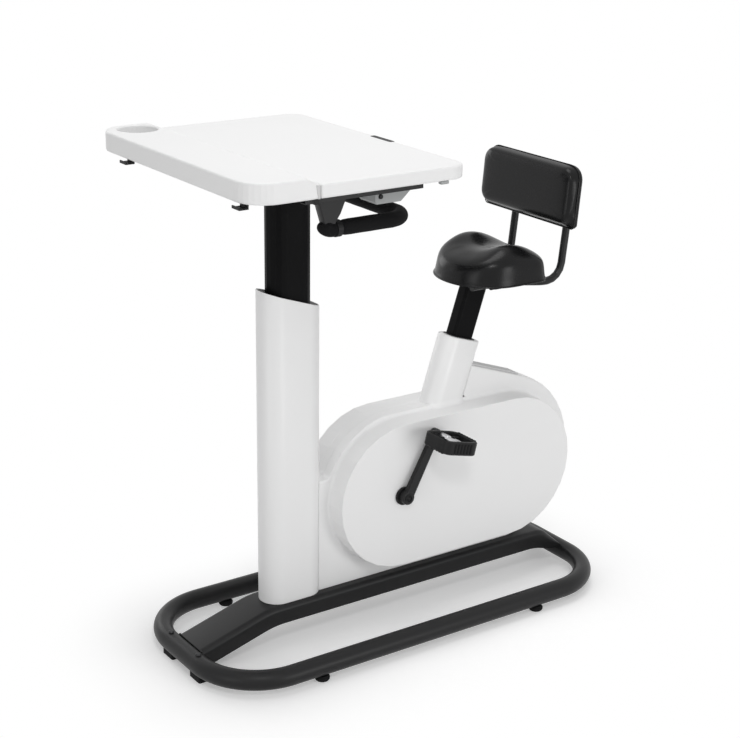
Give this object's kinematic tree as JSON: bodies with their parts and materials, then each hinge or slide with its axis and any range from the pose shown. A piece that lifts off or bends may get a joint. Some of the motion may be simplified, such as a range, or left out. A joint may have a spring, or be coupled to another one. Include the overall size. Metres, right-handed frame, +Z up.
{
  "type": "desk exercise bike",
  "caption": "Stationary pedal bike with a moulded drive housing, padded saddle and backrest on a leaning post, and a height-adjustable desk on a column, all on a looped tube base.",
  "frame": {"origin": "on the floor, under the middle of the overall box", "axes": "+Z up, +X from the column toward the rider's seat, -Y the side with the console"},
  "size_m": [1.1654, 0.694, 1.221],
  "materials": {
    "white_paint": "satin",
    "white_plastic": "satin",
    "desk_white": "satin",
    "black_paint": "satin powder coat",
    "black_plastic": "satin",
    "black_rubber": "matt",
    "black_foam": "matt foam",
    "black_vinyl": "satin vinyl cover",
    "grey_plastic": "satin",
    "bright_steel": "brushed",
    "cast_iron": "machined"
  },
  "bodies": {
    "frame": {"base_loop": "black_paint", "front_foot_near": "black_rubber", "front_foot_far": "black_rubber", "front_foot_bolt_near": "bright_steel", "front_foot_bolt_far": "bright_steel", "spine_beam": "black_paint", "column_shroud": "white_paint", "guide_post": "black_paint", "spring_cylinder": "black_paint", "housing_near": "white_plastic", "housing_far": "white_plastic", "fin_strip": "black_plastic", "seat_fairing": "white_plastic", "drive_frame": "black_paint", "seat_guide_tube": "black_paint", "seat_bush": "black_plastic", "crank_bearing": "bright_steel", "drive_belt": "black_rubber"},
    "foot_front_near": {"levelling_foot_front_near": "black_rubber"},
    "foot_front_far": {"levelling_foot_front_far": "black_rubber"},
    "foot_rear_near": {"levelling_foot_rear_near": "black_rubber"},
    "foot_rear_far": {"levelling_foot_rear_far": "black_rubber"},
    "desk_lift": {"lift_sleeve": "black_paint", "spring_rod": "bright_steel", "desk_beam": "black_paint", "desk_tray": "desk_white", "handlebar_tube": "black_paint", "handlebar_grip": "black_foam", "handlebar_bracket_near": "black_paint", "handlebar_bracket_far": "black_paint", "grip_collar_near": "grey_plastic", "grip_collar_far": "grey_plastic", "console_case": "grey_plastic", "tray_hook_near": "black_plastic", "tray_hook_far": "black_plastic", "side_catch": "black_plastic"},
    "desk_slide": {"desk_slide_top": "desk_white", "slide_runner_near": "grey_plastic", "slide_runner_far": "grey_plastic", "desk_bumper": "grey_plastic"},
    "button": {"console_button": "black_plastic"},
    "desk_lever": {"lift_lever": "black_plastic"},
    "crank": {"crank_axle": "bright_steel", "drive_pulley": "black_plastic", "crank_arm_near": "black_paint", "crank_arm_far": "black_paint", "pedal_spindle_near": "bright_steel", "pedal_spindle_far": "bright_steel"},
    "pedal_near_body": {"pedal_near": "black_plastic"},
    "pedal_far_body": {"pedal_far": "black_plastic"},
    "flywheel_body": {"flywheel": "cast_iron"},
    "brake": {"brake_arm": "bright_steel"},
    "seat": {"seat_post": "black_paint", "seat_clamp": "black_paint", "saddle_pan": "black_plastic", "saddle_cushion": "black_vinyl", "backrest_frame": "black_paint", "backrest_board": "black_plastic", "backrest_pad": "black_vinyl"},
    "seat_lever_body": {"seat_lever": "black_plastic"}
  },
  "joints": [
    {"name": "level_front_near", "type": "hinge", "parent": "frame", "child": "foot_front_near", "pos_m": [-0.321, -0.226, 0.013], "axis": [0, 0, 1], "range_deg": [-720, 720]},
    {"name": "level_front_far", "type": "hinge", "parent": "frame", "child": "foot_front_far", "pos_m": [-0.321, 0.226, 0.013], "axis": [0, 0, 1], "range_deg": [-720, 720]},
    {"name": "level_rear_near", "type": "hinge", "parent": "frame", "child": "foot_rear_near", "pos_m": [0.321, -0.226, 0.013], "axis": [0, 0, 1], "range_deg": [-720, 720]},
    {"name": "level_rear_far", "type": "hinge", "parent": "frame", "child": "foot_rear_far", "pos_m": [0.321, 0.226, 0.013], "axis": [0, 0, 1], "range_deg": [-720, 720]},
    {"name": "desk_height", "type": "slide", "parent": "frame", "child": "desk_lift", "axis": [0, 0, 1], "range_m": [-0.25, 0.03]},
    {"name": "desk_reach", "type": "slide", "parent": "desk_lift", "child": "desk_slide", "axis": [1, 0, 0], "range_m": [0, 0.12]},
    {"name": "button_press", "type": "slide", "parent": "desk_lift", "child": "button", "axis": [0, 1, 0], "range_m": [0, 0.0015], "stiffness_N_per_m": 800},
    {"name": "desk_lever_pull", "type": "hinge", "parent": "desk_lift", "child": "desk_lever", "pos_m": [-0.315, 0.215, 1.16095], "axis": [0, -1, 0], "range_deg": [0, 4.5], "stiffness_Nm_per_rad": 3, "springref_deg": -2.86},
    {"name": "crank_turn", "type": "hinge", "parent": "frame", "child": "crank", "pos_m": [0.002, 0, 0.337], "axis": [0, 1, 0], "continuous": true},
    {"name": "pedal_near_turn", "type": "hinge", "parent": "crank", "child": "pedal_near_body", "pos_m": [0.08246, -0.1645, 0.48675], "axis": [0, 1, 0], "continuous": true},
    {"name": "pedal_far_turn", "type": "hinge", "parent": "crank", "child": "pedal_far_body", "pos_m": [-0.07846, 0.1645, 0.18725], "axis": [0, 1, 0], "continuous": true},
    {"name": "flywheel_turn", "type": "hinge", "parent": "frame", "child": "flywheel_body", "pos_m": [0.3419, 0, 0.3348], "axis": [0, 1, 0], "continuous": true},
    {"name": "brake_swing", "type": "hinge", "parent": "frame", "child": "brake", "pos_m": [0.23142, 0, 0.39109], "axis": [0, -1, 0], "range_deg": [0, 4.5]},
    {"name": "seat_height", "type": "slide", "parent": "frame", "child": "seat", "axis": [0.3091, 0, 0.951], "range_m": [-0.1, 0.1]},
    {"name": "seat_lever_pull", "type": "hinge", "parent": "seat", "child": "seat_lever_body", "pos_m": [0.29626, -0.0438, 0.8047], "axis": [0, 1, 0], "range_deg": [0, 8], "stiffness_Nm_per_rad": 2, "springref_deg": -2.86}
  ],
  "couplings": [
    {"joint": "flywheel_turn", "follows": "crank_turn", "ratio": 5.8333}
  ]
}
